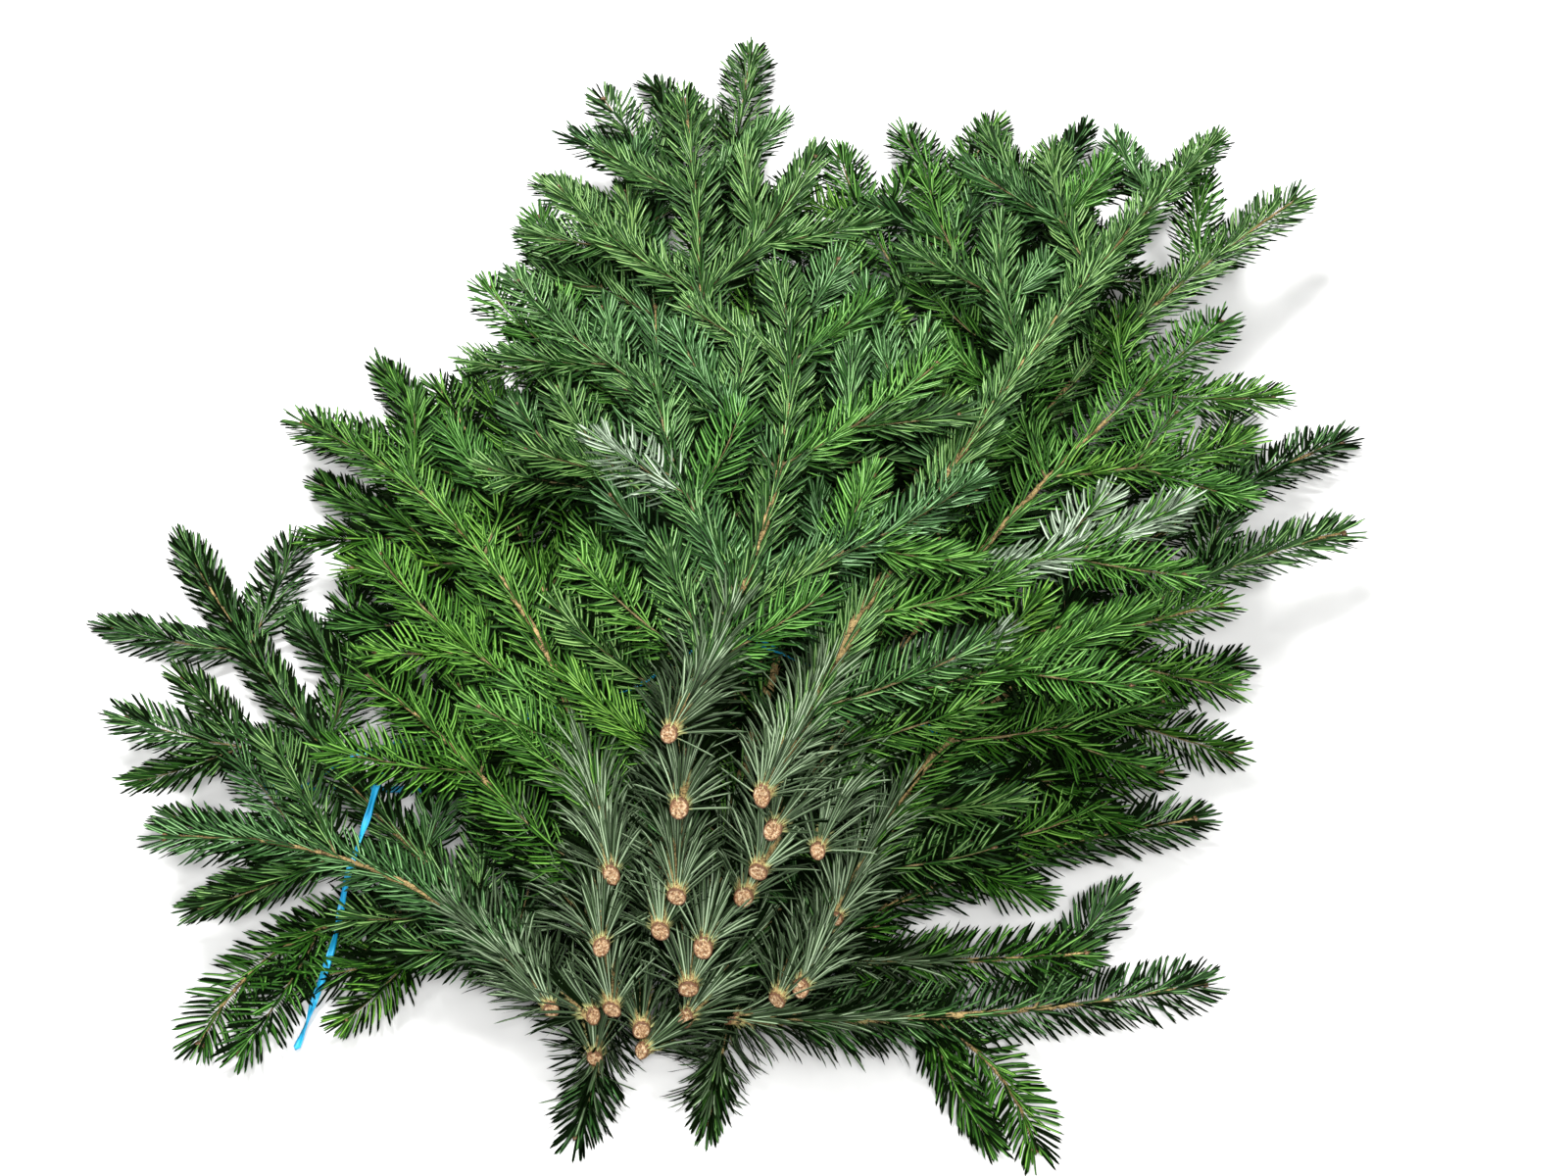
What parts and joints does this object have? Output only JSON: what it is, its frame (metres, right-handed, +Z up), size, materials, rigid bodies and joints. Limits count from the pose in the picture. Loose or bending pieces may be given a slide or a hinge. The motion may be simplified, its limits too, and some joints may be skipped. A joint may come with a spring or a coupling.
{
  "type": "bundle of cut nordmann fir boughs",
  "caption": "Fanned pile of cut nordmann fir boughs lying on the ground, sawn ends together at the front, tied round with twine.",
  "frame": {"origin": "on the ground, under the middle of the bundle's box", "axes": "+Z up from the ground, +Y from the sawn ends towards the tips, +X to the right seen from the sawn ends"},
  "size_m": [0.7768, 0.8776, 0.1827],
  "materials": {
    "wood": "rough bark, pale sawn ends",
    "dark_needles": "waxy dark needles",
    "green_needles": "waxy green needles",
    "fresh_needles": "waxy bright needles",
    "twine": "twisted flat blue tape"
  },
  "bodies": {
    "root": {"bough_01_butt": "wood", "bough_01_foliage": "green_needles", "bough_02_butt": "wood", "bough_02_foliage": "fresh_needles", "bough_03_butt": "wood", "bough_03_foliage": "dark_needles", "bough_04_butt": "wood", "bough_04_foliage": "green_needles", "bough_05_butt": "wood", "bough_05_foliage": "fresh_needles", "bough_06_butt": "wood", "bough_06_foliage": "dark_needles", "bough_07_butt": "wood", "bough_07_foliage": "green_needles", "bough_08_butt": "wood", "bough_08_foliage": "fresh_needles", "bough_09_butt": "wood", "bough_09_foliage": "dark_needles", "bough_10_butt": "wood", "bough_10_foliage": "green_needles", "bough_11_butt": "wood", "bough_11_foliage": "fresh_needles", "bough_12_butt": "wood", "bough_12_foliage": "dark_needles", "bough_13_butt": "wood", "bough_13_foliage": "green_needles", "bough_14_butt": "wood", "bough_14_foliage": "fresh_needles", "bough_15_butt": "wood", "bough_15_foliage": "dark_needles", "bough_16_butt": "wood", "bough_16_foliage": "green_needles", "bough_17_butt": "wood", "bough_17_foliage": "fresh_needles", "bough_18_butt": "wood", "bough_18_foliage": "dark_needles", "bough_19_butt": "wood", "bough_19_foliage": "green_needles", "bough_20_butt": "wood", "bough_20_foliage": "fresh_needles", "bough_21_butt": "wood", "bough_21_foliage": "dark_needles", "bough_22_butt": "wood", "bough_22_foliage": "green_needles", "bough_23_butt": "wood", "bough_23_foliage": "fresh_needles", "bough_24_butt": "wood", "bough_24_foliage": "dark_needles", "bough_25_butt": "wood", "bough_25_foliage": "green_needles", "bough_26_butt": "wood", "bough_26_foliage": "fresh_needles", "bough_27_butt": "wood", "bough_27_foliage": "dark_needles", "bough_28_butt": "wood", "bough_28_foliage": "green_needles", "bough_29_butt": "wood", "bough_29_foliage": "fresh_needles", "twine": "twine"}
  },
  "joints": []
}
